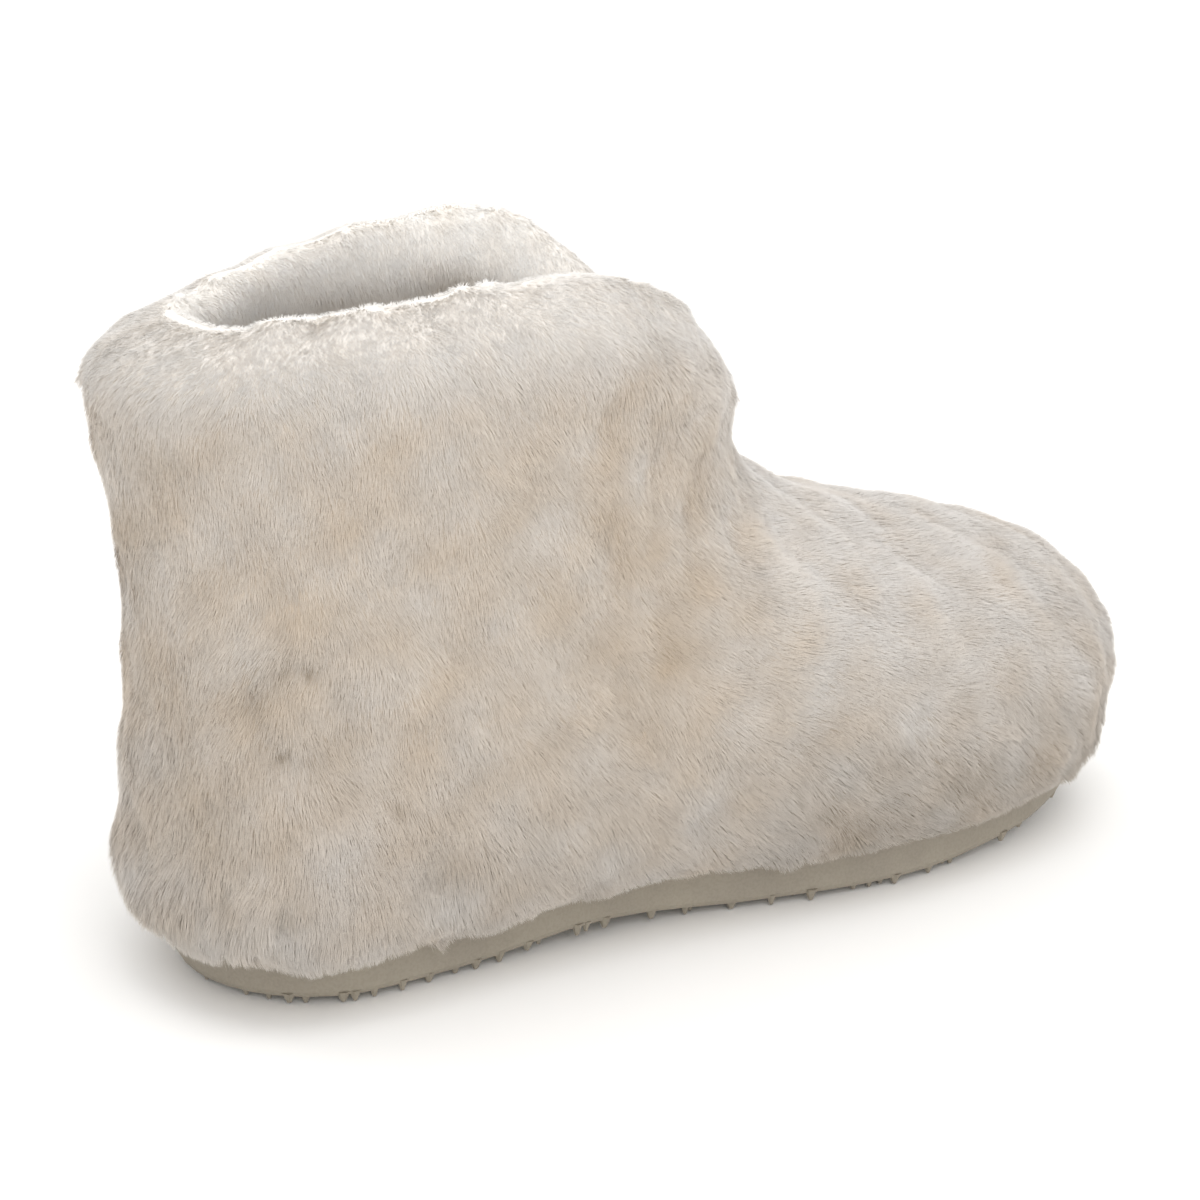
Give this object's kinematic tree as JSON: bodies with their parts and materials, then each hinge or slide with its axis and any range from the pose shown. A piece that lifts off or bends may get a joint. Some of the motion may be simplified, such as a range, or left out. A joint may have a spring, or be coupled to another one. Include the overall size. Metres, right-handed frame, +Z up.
{
  "type": "fur slipper boot",
  "caption": "Ankle-high sheepskin slipper boot: hollow fur upper with a thick round collar, a padded footbed and a studded sole.",
  "frame": {"origin": "on the floor, below the middle of the shoe's bounding box", "axes": "+X toward the toe, +Y toward the inner side of the foot, +Z up"},
  "size_m": [0.2868, 0.1192, 0.1679],
  "materials": {
    "fur": "long soft cream sheepskin pile",
    "sole": "matte taupe",
    "fleece": "short cream fleece"
  },
  "bodies": {
    "root": {"upper": "fur", "outsole": "sole", "insole": "fleece"}
  },
  "joints": []
}
